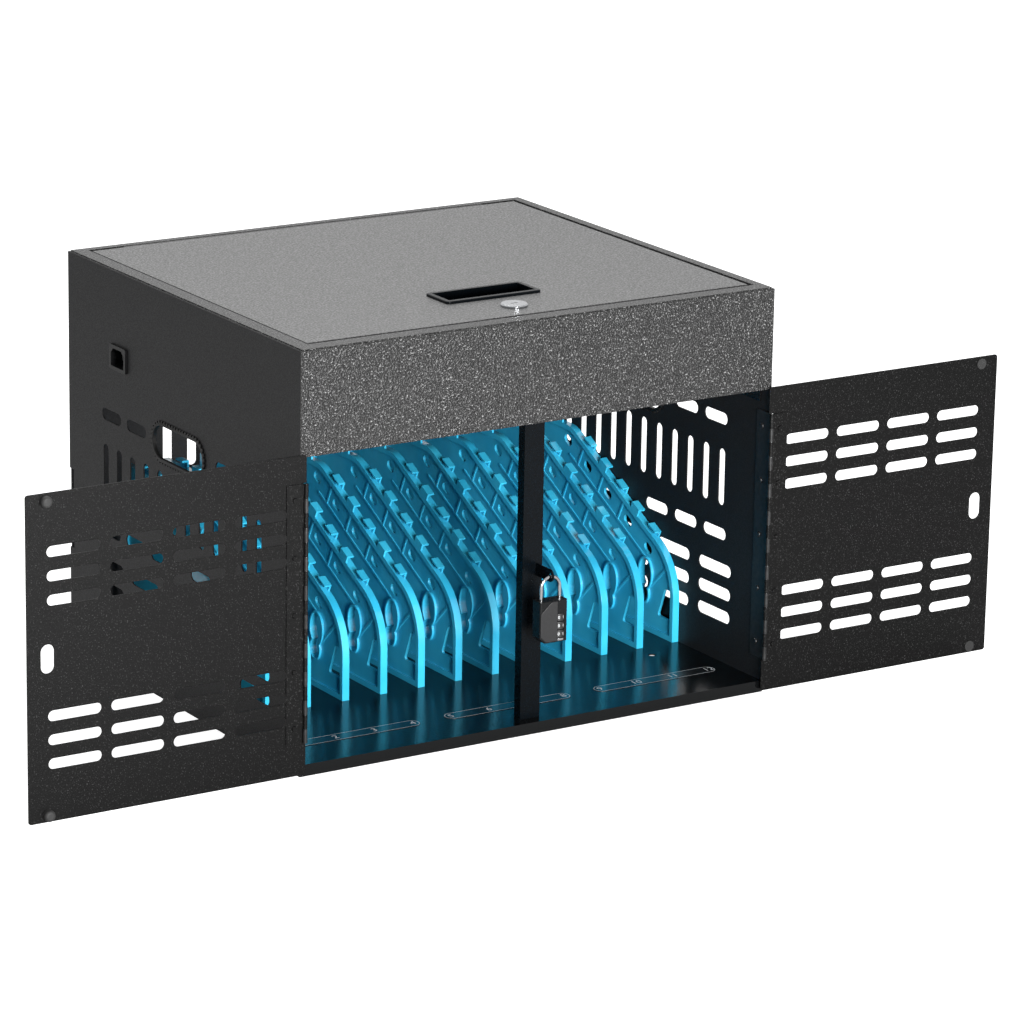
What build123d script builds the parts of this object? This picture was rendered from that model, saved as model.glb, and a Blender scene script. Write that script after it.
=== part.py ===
# Charging cabinet: a desktop steel locker that stores and charges twelve tablets or laptops.
# Lengths are millimetres and angles degrees.
# X runs to the right, Y runs from the front to the back and Z runs up.
# The origin is the middle of the base, on the surface that the cabinet stands on.
# The doors are drawn wide open, as they are in use, and the lid is drawn closed.

import os
from math import cos, radians, sin, tan

from build123d import *

# Cabinet shell
width = 480.0
depth = 423.0
height = 374.3
sheet = 1.2
fascia_height = 91.3
floor_top = 10.5
floor_return = 15.0
fascia_return = 14.0
shelf_flange = 14.0
rear_notch_bottom = 96.0
rear_notch_top = 171.0
rear_notch_depth = 8.0
seat_gap = 0.3

# Top frame and lid
frame_left = 13.5
frame_right = 9.0
frame_front = 16.5
frame_rear = 8.0
frame_seam = 0.8
frame_leg = 14.0
rebate_depth = 16.0
ledge = 10.0
lid_left_gap = 1.5
lid_right_gap = 4.5
lid_front_gap = 4.0
lid_rear_gap = 5.4

# Vent slots in the walls
small_slot_length = 36.0
small_slot_height = 11.0
top_row_height = 238.0
top_row_offsets = (-128.5, -81.5, 81.5, 128.5)
middle_row_height = 130.3
middle_row_offsets = (-130.8, -83.8, -36.8, 36.8, 83.8, 130.8)
upright_slot_count = 12
upright_slot_pitch = 25.4
upright_slot_length = 53.0
upright_slot_width = 9.5
upright_slot_height = 183.5
long_slot_length = 51.5
long_slot_height = 11.5
long_slot_columns = 5
long_slot_pitch = 66.5
long_slot_rows = (53.7, 75.2, 97.3)

# Hand holes in the side walls and their edging
hand_hole_length = 93.0
hand_hole_height = 33.0
hand_hole_back = 215.0
hand_hole_level = 237.0
edging_cover = 3.0
edging_wall = 1.4

# Power inlet in the left wall
inlet_back = 325.0
inlet_level = 295.0
inlet_flange_length = 30.0
inlet_flange_height = 22.6
inlet_flange_thickness = 2.2
inlet_body_length = 27.0
inlet_body_height = 19.6
inlet_body_depth = 24.0
inlet_socket_length = 24.0
inlet_socket_height = 16.4
inlet_socket_depth = 19.0
inlet_socket_corner = 4.5
inlet_pin_length = 10.0
inlet_pin_width = 4.0
inlet_pin_thickness = 2.0
inlet_pin_pitch = 7.0
inlet_pin_offset = 2.0
inlet_corner = 1.5

# Dividers
divider_count = 12
divider_pitch = 39.1
divider_rim = 7.0
divider_rim_depth = 5.0
divider_web = 2.6
divider_front = 133.0
divider_length = 262.0
divider_nose = 40.0
divider_nose_radius = 56.0
divider_slope = 27.0
divider_slope_length = 156.0
divider_crown_radius = 40.0
clip_count = 5
top_clip_count = 2
clip_pitch = 31.0
clip_first = 5.0
clip_length = 13.0
clip_height = 6.5
clip_wall = 1.8
oval_count = 6
oval_pitch = 39.0
oval_first = 9.0
oval_drop = 17.0
oval_length = 13.0
oval_height = 8.0
bead_drop = 27.0
bead_width = 2.4
bead_proud = 0.8
stiffener_count = 3
stiffener_pitch = 78.0
stiffener_first = 62.0
eye_back = 48.0
eye_level = 54.5
eye_length = 20.0
eye_height = 29.0
eye_lobe_back = 50.0
eye_lobe_level = 35.5
eye_lobe_length = 15.0
eye_lobe_height = 18.0
eye_wall = 1.8
brace_front_back = 12.0
brace_front_level = 70.0
brace_rear_back = 42.0
brace_rear_level = 42.0
window_front = 8.0
window_length = 20.0
window_top_length = 9.0
window_bottom = 19.0
window_height = 28.0
window_corner = 2.0

# Number strips on the floor
strip_count = 3
strip_length = 130.0
strip_width = 16.0
strip_thickness = 0.4
strip_back = 50.0

# Holes in the floor for fixing the cabinet to a desk
desk_hole_radius = 3.3
desk_hole_span_x = 390.0
desk_hole_span_y = 200.0

# Middle post and its lock lug
post_width = 20.0
post_back = 12.0
post_return = 10.0
post_center = -0.7
lock_x = 3.0
lug_thickness = 1.5
lug_reach = 16.5
lug_half_height = 5.5
lug_hole_radius = 2.6
lug_hole_back = -11.6
lug_hole_level = 146.7

# Doors
left_door_width = 262.0
right_door_width = 253.0
door_height = 282.0
door_bottom = 2.5
door_sheet = 1.2
door_corner = 2.5
door_edge_lap = 1.4
door_slot_count = 4
door_slot_rows = (50.0, 70.7, 91.4)
door_slot_height = 9.5
door_slot_margin = 18.8
door_slot_gap = 8.8
lock_slot_width = 12.4
lock_slot_length = 25.0
lock_slot_edge = 18.8
bumper_radius = 5.0
bumper_edge = 18.0
bumper_top_drop = 6.8
bumper_bottom_rise = 6.0
pad_radius = 5.0
pad_thickness = 0.8

# Piano hinges
knuckle_length = 12.7
knuckle_count = 18
knuckle_radius = 1.9
knuckle_gap = 0.25
hinge_top_drop = 24.5
leaf_width = 18.0
leaf_thickness = 0.9
leaf_clearance = 0.3
pin_radius = 1.0
pin_clearance = 0.05
left_axis_front = 3.8
right_axis_front = 6.1
rivet_count = 5
rivet_pitch = 50.2
rivet_radius = 1.5
rivet_head_radius = 2.6
rivet_head_height = 1.0
rivet_tail_height = 0.4
rivet_inset = 10.0
rivet_clearance = 0.05

# Lid hinge
lid_knuckle_length = 25.4
lid_knuckle_count = 15
lid_knuckle_radius = 2.0
lid_axis_drop = 2.0
lid_leaf_width = 12.0
lid_leaf_thickness = 0.9

# Lid pull and lid lock
pull_length = 91.0
pull_width = 32.0
pull_back = 100.0
pull_depth = 13.0
pull_wall = 1.5
pull_flange = 3.0
pull_flange_thickness = 2.4
pull_edge_radius = 1.0
pull_corner = 4.0
lock_back = 50.0
barrel_radius = 9.5
barrel_head_radius = 12.0
barrel_head_height = 2.6
barrel_length = 16.0
core_radius = 6.0
core_clearance = 0.05
key_slot_length = 7.0
key_slot_width = 1.4
key_slot_depth = 8.0
nut_radius = 14.0
nut_thickness = 4.0
cam_thickness = 2.0
cam_clearance = 0.5
cam_width = 14.0
cam_tip_reach = 32.0
cam_screw_radius = 4.5
cam_screw_height = 2.2

# Combination padlock
padlock_width = 28.0
padlock_thickness = 13.0
padlock_height = 37.4
padlock_drop = 22.0
padlock_corner = 1.5
padlock_cut = 5.0
shackle_radius = 1.6
shackle_span = 18.8
shackle_long_leg = 24.0
shackle_short_leg = 8.0
shackle_clearance = 0.1
dial_count = 3
dial_radius = 7.0
dial_height = 6.6
dial_pitch = 7.5
dial_edge = 6.5
dial_top_drop = 12.5
dial_clearance = 0.3
spindle_radius = 1.6
spindle_foot_rise = 0.9
spindle_foot_height = 1.8
spindle_clearance = 0.05

# Power strip above the shelf
strip_body_length = 404.0
strip_body_width = 44.0
strip_body_height = 40.0
strip_body_wall = 1.5
strip_body_back = 232.0
outlet_count = 12
outlet_pitch = 30.4
outlet_first_x = -150.0
outlet_size = 27.0
outlet_depth = 12.0
outlet_corner = 2.0
outlet_flange = 1.5
outlet_flange_thickness = 1.2
blade_slot_length = 8.0
blade_slot_width = 2.0
blade_slot_pitch = 12.7
blade_slot_depth = 9.0
ground_radius = 2.6
ground_drop = 8.0
rocker_x = -182.0
rocker_length = 20.0
rocker_width = 12.0
rocker_depth = 7.0
rocker_angle = 10.0
rocker_gap = 1.1
rocker_pin_radius = 1.0
rocker_pin_clearance = 0.05
bezel_border = 2.0
bezel_depth = 14.0
bracket_length = 22.0
bracket_foot = 18.0
bracket_thickness = 1.5
screw_radius = 2.0
screw_head_radius = 3.8
screw_head_height = 2.2

# Cable openings in the shelf and their edging
pass_count = 3
pass_pitch = 150.0
pass_length = 110.0
pass_width = 34.0
pass_back = 372.0

front = -depth / 2
rear = depth / 2
inner_x = width / 2 - sheet
shell_top = height - sheet
fascia_bottom = shell_top - fascia_height
shelf_top = fascia_bottom + sheet
divider_x = [
    inner_x - seat_gap - divider_rim / 2 - divider_pitch * (divider_count - 1 - index)
    for index in range(divider_count)
]
bay_x = [x - divider_pitch / 2 for x in divider_x]
door_top = door_bottom + door_height
hinge_length = knuckle_length * knuckle_count
hinge_top = door_top - hinge_top_drop
hinge_bottom = hinge_top - hinge_length
hinge_middle = (hinge_top + hinge_bottom) / 2
rivet_levels = [
    hinge_middle + rivet_pitch * (index - (rivet_count - 1) / 2) for index in range(rivet_count)
]

os.makedirs("parts", exist_ok=True)


def save(piece, name):
    """Labels a finished piece and writes it to its own file."""
    piece.part.label = name
    export_step(piece.part, f"parts/{name}.step")


def cut_wall_vents():
    """Cuts the vent pattern that both side walls share, about the middle of their depth."""
    with Locations(*[(offset, top_row_height) for offset in top_row_offsets]):
        SlotOverall(small_slot_length, small_slot_height, mode=Mode.SUBTRACT)
    with Locations(*[(offset, middle_row_height) for offset in middle_row_offsets]):
        SlotOverall(small_slot_length, small_slot_height, mode=Mode.SUBTRACT)
    with Locations((0, upright_slot_height)):
        with GridLocations(upright_slot_pitch, 1, upright_slot_count, 1):
            SlotOverall(upright_slot_length, upright_slot_width, rotation=90, mode=Mode.SUBTRACT)
    for level in long_slot_rows:
        with Locations((0, level)):
            with GridLocations(long_slot_pitch, 1, long_slot_columns, 1):
                SlotOverall(long_slot_length, long_slot_height, mode=Mode.SUBTRACT)


def make_side_wall(outer_x, has_inlet):
    """One side wall, whose skin starts at outer_x: a flat sheet that steps back behind the fascia."""
    with BuildPart() as wall:
        with BuildSketch(Plane.YZ.offset(outer_x)):
            with BuildLine():
                Polyline(
                    (front, 0),
                    (rear, 0),
                    (rear, rear_notch_bottom),
                    (rear - rear_notch_depth, rear_notch_bottom),
                    (rear - rear_notch_depth, rear_notch_top),
                    (rear, rear_notch_top),
                    (rear, shell_top),
                    (front + sheet, shell_top),
                    (front + sheet, fascia_bottom),
                    (front, fascia_bottom),
                    close=True,
                )
            make_face()
            cut_wall_vents()
            with Locations((front + hand_hole_back, hand_hole_level)):
                SlotOverall(hand_hole_length, hand_hole_height, mode=Mode.SUBTRACT)
            if has_inlet:
                with Locations((front + inlet_back, inlet_level)):
                    Rectangle(inlet_body_length, inlet_body_height, mode=Mode.SUBTRACT)
            with Locations((front + rivet_inset, hinge_middle)):
                with GridLocations(1, rivet_pitch, 1, rivet_count):
                    Circle(rivet_radius + rivet_clearance, mode=Mode.SUBTRACT)
        extrude(amount=sheet)
    return wall



for name, outer_x, has_inlet in (
    ("left_side_panel", -width / 2, True),
    ("right_side_panel", inner_x, False),
):
    wall = make_side_wall(outer_x, has_inlet)
    save(wall, name)

# Back wall: a flat sheet between the side walls with a row of upright vents.
with BuildPart() as back_panel:
    with BuildSketch(Plane.XZ.offset(-rear)):
        with Locations((0, shell_top / 2)):
            Rectangle(2 * inner_x, shell_top)
        with Locations((0, upright_slot_height)):
            with GridLocations(upright_slot_pitch, 1, upright_slot_count, 1):
                SlotOverall(upright_slot_length, upright_slot_width, rotation=90, mode=Mode.SUBTRACT)
    extrude(amount=sheet)
save(back_panel, "back_panel")

# Floor: an upturned tray with four flanges that turn in again at the bottom, and four desk holes.
floor_depth = rear - sheet - front
floor_middle = (front + rear - sheet) / 2
with BuildPart() as floor_pan:
    with BuildSketch(Plane.XY):
        with Locations((0, floor_middle)):
            Rectangle(2 * inner_x, floor_depth)
    extrude(amount=floor_top)
    with BuildSketch(Plane.XY.offset(sheet)):
        with Locations((0, floor_middle)):
            Rectangle(2 * inner_x - 2 * sheet, floor_depth - 2 * sheet)
    extrude(amount=floor_top - 2 * sheet, mode=Mode.SUBTRACT)
    with BuildSketch(Plane.XY):
        with Locations((0, floor_middle)):
            Rectangle(2 * inner_x - 2 * floor_return, floor_depth - 2 * floor_return)
    extrude(amount=sheet, mode=Mode.SUBTRACT)
    with BuildSketch(Plane.XY.offset(floor_top)):
        with GridLocations(desk_hole_span_x, desk_hole_span_y, 2, 2):
            Circle(desk_hole_radius)
    extrude(amount=-sheet, mode=Mode.SUBTRACT)
save(floor_pan, "floor_pan")

# Shelf between the devices and the power bay, with down-turned flanges and cable openings.
shelf_front = front + fascia_return
shelf_depth = rear - sheet - shelf_front
shelf_middle = (shelf_front + rear - sheet) / 2
with BuildPart() as device_shelf:
    with BuildSketch(Plane.XY.offset(fascia_bottom)):
        with Locations((0, shelf_middle)):
            Rectangle(2 * inner_x, shelf_depth)
        with Locations((0, front + pass_back)):
            with GridLocations(pass_pitch, 1, pass_count, 1):
                SlotOverall(pass_length, pass_width, mode=Mode.SUBTRACT)
        with Locations((0, front + strip_body_back)):
            with GridLocations(strip_body_length + bracket_foot, 1, 2, 1):
                Circle(screw_radius, mode=Mode.SUBTRACT)
    extrude(amount=sheet)
    with BuildSketch(Plane.XY.offset(fascia_bottom)):
        with Locations((-inner_x + sheet / 2, shelf_middle), (inner_x - sheet / 2, shelf_middle)):
            Rectangle(sheet, shelf_depth)
    extrude(amount=-shelf_flange)
save(device_shelf, "device_shelf")

# Cable edging: a thin rim that snaps round each cable opening of the shelf.
with BuildPart() as cable_grommets:
    for level, amount in ((shelf_top, edging_wall), (fascia_bottom, -edging_wall)):
        with BuildSketch(Plane.XY.offset(level)):
            with Locations((0, front + pass_back)):
                with GridLocations(pass_pitch, 1, pass_count, 1):
                    SlotOverall(pass_length + 2 * edging_cover, pass_width + 2 * edging_cover)
        extrude(amount=amount)
    with BuildSketch(Plane.XY.offset(fascia_bottom)):
        with Locations((0, front + pass_back)):
            with GridLocations(pass_pitch, 1, pass_count, 1):
                SlotOverall(pass_length, pass_width)
    extrude(amount=sheet)
    with BuildSketch(Plane.XY.offset(fascia_bottom - edging_wall)):
        with Locations((0, front + pass_back)):
            with GridLocations(pass_pitch, 1, pass_count, 1):
                SlotOverall(pass_length - 2 * edging_wall, pass_width - 2 * edging_wall)
    extrude(amount=sheet + 2 * edging_wall, mode=Mode.SUBTRACT)
save(cable_grommets, "cable_grommets")

# Fascia: the band above the doors, folded back under the power bay.
with BuildPart() as front_fascia:
    with BuildSketch(Plane.YZ.offset(-width / 2)):
        with Locations((front + sheet / 2, fascia_bottom + fascia_height / 2)):
            Rectangle(sheet, fascia_height)
    extrude(amount=width)
    with BuildSketch(Plane.YZ.offset(-inner_x)):
        with Locations((front + fascia_return / 2, fascia_bottom + sheet / 2)):
            Rectangle(fascia_return, sheet)
    extrude(amount=2 * inner_x)
save(front_fascia, "front_fascia")

# Top frame: a flat border, one sheet above the shell's edge, with legs against the walls and a
# rebate that the lid drops into. The lid hangs nearer its left side, as the hinge lets it.
opening_left = frame_seam + frame_left - inner_x
opening_right = inner_x - frame_seam - frame_right
opening_front = front + frame_front
opening_rear = rear - sheet - frame_seam - frame_rear
opening_width = opening_right - opening_left
opening_depth = opening_rear - opening_front
opening_center = ((opening_left + opening_right) / 2, (opening_front + opening_rear) / 2)
lid_left = opening_left + lid_left_gap
lid_right = opening_right - lid_right_gap
lid_front = opening_front + lid_front_gap
lid_rear = opening_rear - lid_rear_gap
frame_outer_front = front + sheet
frame_outer_rear = rear - sheet
frame_middle = (frame_outer_front + frame_outer_rear) / 2
frame_depth = frame_outer_rear - frame_outer_front
ledge_top = height - rebate_depth
with BuildPart() as top_frame:
    with BuildSketch(Plane.XY.offset(height - sheet)):
        with Locations((0, frame_middle)):
            Rectangle(2 * (inner_x - frame_seam), frame_depth - 2 * frame_seam)
    extrude(amount=sheet)
    with BuildSketch(Plane.XY.offset(height - sheet)):
        with Locations((0, frame_middle)):
            Rectangle(2 * inner_x, frame_depth)
            Rectangle(2 * (inner_x - sheet), frame_depth - 2 * sheet, mode=Mode.SUBTRACT)
    extrude(amount=-frame_leg)
    with BuildSketch(Plane.XY.offset(ledge_top - sheet)):
        with Locations(opening_center):
            Rectangle(opening_width + 2 * sheet, opening_depth + 2 * sheet)
    extrude(amount=rebate_depth)
    with BuildSketch(Plane.XY.offset(ledge_top)):
        with Locations(opening_center):
            Rectangle(opening_width, opening_depth)
    extrude(amount=rebate_depth, mode=Mode.SUBTRACT)
    with BuildSketch(Plane.XY.offset(ledge_top - sheet)):
        with Locations(opening_center):
            Rectangle(opening_width - 2 * ledge, opening_depth - 2 * ledge)
    extrude(amount=sheet, mode=Mode.SUBTRACT)
save(top_frame, "top_frame")

# Middle post: a channel that the doors meet at, with a pierced lug for the padlock.
post_front = front + post_back
with BuildPart() as center_post:
    with BuildSketch(Plane.XY.offset(floor_top)):
        with Locations((post_center, post_front + post_return / 2)):
            Rectangle(post_width, post_return)
        with Locations((post_center, post_front + sheet + post_return / 2)):
            Rectangle(post_width - 2 * sheet, post_return, mode=Mode.SUBTRACT)
    extrude(amount=fascia_bottom - floor_top)
    with BuildSketch(Plane.YZ.offset(lock_x - lug_thickness / 2)):
        with BuildLine():
            lug_top = Line(
                (post_front, lug_hole_level + lug_half_height),
                (front - lug_reach + lug_half_height, lug_hole_level + lug_half_height),
            )
            lug_bottom = Line(
                (front - lug_reach + lug_half_height, lug_hole_level - lug_half_height),
                (post_front, lug_hole_level - lug_half_height),
            )
            ThreePointArc(lug_top @ 1, (front - lug_reach, lug_hole_level), lug_bottom @ 0)
            Line(lug_bottom @ 1, lug_top @ 0)
        make_face()
        with Locations((front + lug_hole_back, lug_hole_level)):
            Circle(lug_hole_radius, mode=Mode.SUBTRACT)
    extrude(amount=lug_thickness)
save(center_post, "center_post")

# Number strips: thin plates on the floor, one for every four bays.
bays_per_strip = divider_count // strip_count
with BuildPart() as number_strips:
    with BuildSketch(Plane.XY.offset(floor_top)):
        for index in range(strip_count):
            bays = bay_x[index * bays_per_strip : (index + 1) * bays_per_strip]
            with Locations(((bays[0] + bays[-1]) / 2, front + strip_back)):
                SlotOverall(strip_length, strip_width)
    extrude(amount=strip_thickness)
save(number_strips, "number_strips")

# Dividers: moulded plates with a raised rim, cable clips along the slope, eyes and stiffening beads.
slope_across = cos(radians(divider_slope))
slope_up = sin(radians(divider_slope))
nose_y = front + divider_front
crown_start_y = nose_y + divider_nose_radius * (1 - slope_up)
crown_start_z = floor_top + divider_nose + divider_nose_radius * slope_across
divider_rear = nose_y + divider_length


def along_slope(distance, drop):
    """A point at a distance up the slope and a drop square to it, below the divider's edge."""
    return (
        crown_start_y + distance * slope_across + drop * slope_up,
        crown_start_z + distance * slope_up - drop * slope_across,
    )


# The divider's outline: upright nose, round shoulder, slope, crown and flat top.
with BuildSketch() as divider_outline:
    with BuildLine():
        nose = Line((nose_y, floor_top), (nose_y, floor_top + divider_nose))
        shoulder = JernArc(nose @ 1, (0, 1), divider_nose_radius, divider_slope - 90)
        slope = PolarLine(shoulder @ 1, divider_slope_length, divider_slope)
        crown = JernArc(slope @ 1, slope % 1, divider_crown_radius, -divider_slope)
        Polyline(crown @ 1, (divider_rear, (crown @ 1).Y), (divider_rear, floor_top), nose @ 0)
    make_face()

top_start = crown @ 1


def along_top(distance, drop):
    """A point at a distance along the divider's flat top and a drop below it."""
    return (top_start.X + distance, top_start.Y - drop)


# The window in the divider's lower front corner.
window_y = nose_y + window_front
window_z = floor_top + window_bottom
with BuildSketch() as window:
    with BuildLine():
        Polyline(
            (window_y, window_z),
            (window_y + window_length, window_z),
            (window_y + window_top_length, window_z + window_height),
            (window_y, window_z + window_height),
            close=True,
        )
    make_face()
    fillet(window.vertices(), window_corner)

# The eye behind the window: a tall two lobed hole with a wall round it as broad as the rim.
with BuildSketch() as eye:
    with Locations((nose_y + eye_back, floor_top + eye_level)):
        Ellipse(eye_length / 2, eye_height / 2)
    with Locations((nose_y + eye_lobe_back, floor_top + eye_lobe_level)):
        Ellipse(eye_lobe_length / 2, eye_lobe_height / 2)
with BuildSketch() as eye_surround:
    with Locations((nose_y + eye_back, floor_top + eye_level)):
        Ellipse(eye_length / 2 + eye_wall, eye_height / 2 + eye_wall)
    with Locations((nose_y + eye_lobe_back, floor_top + eye_lobe_level)):
        Ellipse(eye_lobe_length / 2 + eye_wall, eye_lobe_height / 2 + eye_wall)


def make_divider():
    """The divider that all are copies of, whose web lies on the plane X = 0."""
    plate = Plane.YZ
    with BuildPart() as divider:
        with BuildSketch(plate):
            add(divider_outline.sketch)
            offset(amount=-divider_rim_depth, kind=Kind.INTERSECTION, mode=Mode.SUBTRACT)
        extrude(amount=divider_rim / 2, both=True)
        with BuildSketch(plate):
            add(divider_outline.sketch)
            for index in range(oval_count):
                with Locations(along_slope(oval_first + index * oval_pitch, oval_drop)):
                    SlotOverall(oval_length, oval_height, rotation=divider_slope, mode=Mode.SUBTRACT)
            add(window.sketch, mode=Mode.SUBTRACT)
        extrude(amount=divider_web / 2, both=True)
        with BuildSketch(plate):
            with BuildLine():
                Line(along_slope(0, bead_drop), along_slope(divider_slope_length, bead_drop))
                Line(
                    (nose_y + brace_front_back, floor_top + brace_front_level),
                    (nose_y + brace_rear_back, floor_top + brace_rear_level),
                )
            for index in range(stiffener_count):
                with BuildLine():
                    distance = stiffener_first + index * stiffener_pitch / 2
                    Line(along_slope(distance, divider_rim_depth), along_slope(distance, bead_drop))
            trace(line_width=bead_width)
        extrude(amount=divider_web / 2 + bead_proud, both=True)
        with BuildSketch(plate):
            add(eye_surround.sketch)
        extrude(amount=divider_rim / 2, both=True)
        with BuildSketch(plate):
            add(eye.sketch)
        extrude(amount=divider_rim / 2, both=True, mode=Mode.SUBTRACT)
        for index in range(clip_count + top_clip_count):
            side = -1 if index % 2 else 1
            if index < clip_count:
                edge_point = along_slope
                clip_start = clip_first + index * clip_pitch
            else:
                edge_point = along_top
                clip_start = clip_first + (index - clip_count) * clip_pitch
            outer_face = side * divider_rim / 2
            corners = [
                edge_point(clip_start, divider_rim_depth / 2),
                edge_point(clip_start + clip_length, divider_rim_depth / 2),
                edge_point(clip_start + clip_length, -clip_height),
                edge_point(clip_start, -clip_height),
            ]
            with BuildSketch(Plane.YZ.offset(outer_face)):
                with BuildLine():
                    Polyline(*corners, close=True)
                make_face()
            extrude(amount=-side * clip_wall)
            with BuildSketch(Plane.YZ.offset(outer_face)):
                with BuildLine():
                    Polyline(
                        edge_point(clip_start, clip_wall - clip_height),
                        edge_point(clip_start + clip_length, clip_wall - clip_height),
                        corners[2],
                        corners[3],
                        close=True,
                    )
                make_face()
            extrude(amount=-side * divider_rim)
    return divider


moulding = make_divider()
for index, middle_x in enumerate(divider_x):
    with BuildPart() as divider:
        with Locations((middle_x, 0, 0)):
            add(moulding.part)
    save(divider, f"divider_{index + 1:02d}")


# Hand hole edging: a serrated nylon strip that grips the edge of the sheet all the way round.
cover_length = hand_hole_length + 2 * edging_cover
cover_height = hand_hole_height + 2 * edging_cover
for name, outer_x in (("left_hand_hole_edging", -width / 2), ("right_hand_hole_edging", inner_x)):
    with BuildPart() as edging:
        for start_x, thickness, ring_length, ring_height in (
            (outer_x - edging_wall, edging_wall, cover_length, cover_height),
            (outer_x, sheet, hand_hole_length, hand_hole_height),
            (outer_x + sheet, edging_wall, cover_length, cover_height),
        ):
            with BuildSketch(Plane.YZ.offset(start_x)):
                with Locations((front + hand_hole_back, hand_hole_level)):
                    SlotOverall(ring_length, ring_height)
                    SlotOverall(
                        hand_hole_length - 2 * edging_wall,
                        hand_hole_height - 2 * edging_wall,
                        mode=Mode.SUBTRACT,
                    )
            extrude(amount=thickness)
    save(edging, name)

# Power inlet: a snap-in appliance inlet with a flange outside the left wall.
inlet_center = (front + inlet_back, inlet_level)
inlet_face = -width / 2 - inlet_flange_thickness
with BuildPart() as power_inlet:
    with BuildSketch(Plane.YZ.offset(inlet_face)):
        with Locations(inlet_center):
            RectangleRounded(inlet_flange_length, inlet_flange_height, inlet_corner)
    extrude(amount=inlet_flange_thickness)
    with BuildSketch(Plane.YZ.offset(-width / 2)):
        with Locations(inlet_center):
            Rectangle(inlet_body_length, inlet_body_height)
    extrude(amount=inlet_body_depth)
    with BuildSketch(Plane.YZ.offset(inlet_face)) as socket:
        with Locations(inlet_center):
            Rectangle(inlet_socket_length, inlet_socket_height)
        chamfer(socket.vertices().group_by(Axis.Y)[-1], inlet_socket_corner)
    extrude(amount=inlet_socket_depth, mode=Mode.SUBTRACT)
save(power_inlet, "power_inlet")

# Inlet pins: two flat contacts and the longer earth contact, standing in the socket.
pin_spots = [
    (inlet_center[0] - inlet_pin_pitch, inlet_level - inlet_pin_offset),
    (inlet_center[0], inlet_level + inlet_pin_offset),
    (inlet_center[0] + inlet_pin_pitch, inlet_level - inlet_pin_offset),
]
with BuildPart() as inlet_pins:
    with BuildSketch(Plane.YZ.offset(inlet_face + inlet_socket_depth)):
        with Locations(*pin_spots):
            Rectangle(inlet_pin_thickness, inlet_pin_width)
    extrude(amount=-inlet_pin_length)
save(inlet_pins, "inlet_pins")


def knuckle_starts(own, count, length, low):
    """Where the knuckles that belong to one leaf start: every second one, from own (0 or 1)."""
    return [low + index * length for index in range(own, count, 2)]


def make_door_leaf(axis, away, towards_sheet, lead, own):
    """One leaf of a door hinge: a pierced plate with every second knuckle on its edge.

    axis is the pin's x and y. away points from the pin along the plate, and towards_sheet to
    the sheet that the plate lies against. lead is how far the pin stands off that sheet's edge.
    """
    def spot(distance, rise):
        return axis + away * distance + towards_sheet * rise

    inner = knuckle_radius - leaf_thickness
    with BuildPart() as leaf:
        with BuildSketch(Plane.XY.offset(hinge_bottom)):
            with BuildLine():
                Polyline(
                    spot(knuckle_radius + leaf_clearance, inner),
                    spot(leaf_width + lead, inner),
                    spot(leaf_width + lead, knuckle_radius),
                    spot(knuckle_radius + leaf_clearance, knuckle_radius),
                    close=True,
                )
            make_face()
        extrude(amount=hinge_length)
        for start in knuckle_starts(own, knuckle_count, knuckle_length, hinge_bottom):
            with BuildSketch(Plane.XY.offset(start + knuckle_gap / 2)):
                with BuildLine():
                    Polyline(
                        spot(0, inner),
                        spot(leaf_width / 2, inner),
                        spot(leaf_width / 2, knuckle_radius),
                        spot(0, knuckle_radius),
                        close=True,
                    )
                make_face()
                with Locations(axis):
                    Circle(knuckle_radius)
            extrude(amount=knuckle_length - knuckle_gap)
        with BuildSketch(Plane.XY.offset(hinge_bottom)):
            with Locations(axis):
                Circle(pin_radius + pin_clearance)
        extrude(amount=hinge_length, mode=Mode.SUBTRACT)
        seat = spot(rivet_inset + lead, inner)
        for level in rivet_levels:
            with BuildSketch(Plane((seat.X, seat.Y, level), z_dir=towards_sheet)):
                Circle(rivet_radius + rivet_clearance)
            extrude(amount=leaf_thickness, mode=Mode.SUBTRACT)
    return leaf


left_axis = Vector(-(inner_x - knuckle_radius), front - left_axis_front)
right_axis = Vector(inner_x - knuckle_radius, front - right_axis_front)
to_left = Vector(-1, 0)
to_right = Vector(1, 0)
to_back = Vector(0, 1)

for name, axis, away, towards_sheet, lead, own in (
    ("left_wall_hinge_leaf", left_axis, to_back, to_left, left_axis_front, 0),
    ("right_wall_hinge_leaf", right_axis, to_back, to_right, right_axis_front, 0),
    ("left_door_hinge_leaf", left_axis, to_left, to_back, 0, 1),
    ("right_door_hinge_leaf", right_axis, to_right, to_back, 0, 1),
):
    leaf = make_door_leaf(axis, away, towards_sheet, lead, own)
    save(leaf, name)

# Hinge pins: one wire through all the knuckles of each door hinge.
with BuildPart() as door_hinge_pins:
    with BuildSketch(Plane.XY.offset(hinge_bottom)):
        with Locations(left_axis, right_axis):
            Circle(pin_radius)
    extrude(amount=hinge_length)
save(door_hinge_pins, "door_hinge_pins")


def make_rivets(x, y, direction, grip, tail):
    """A column of hinge rivets: heads on the leaf, shanks along direction and, with a tail, ends."""
    with BuildPart() as rivets:
        for level in rivet_levels:
            with BuildSketch(Plane((x, y, level), z_dir=direction)):
                Circle(rivet_radius)
            extrude(amount=grip)
            with BuildSketch(Plane((x, y, level), z_dir=direction)):
                Circle(rivet_head_radius)
            extrude(amount=-rivet_head_height, taper=20)
            if tail:
                end = Vector(x, y, level) + direction * grip
                with BuildSketch(Plane(end, z_dir=direction)):
                    Circle(rivet_head_radius)
                extrude(amount=rivet_tail_height)
    return rivets


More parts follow.
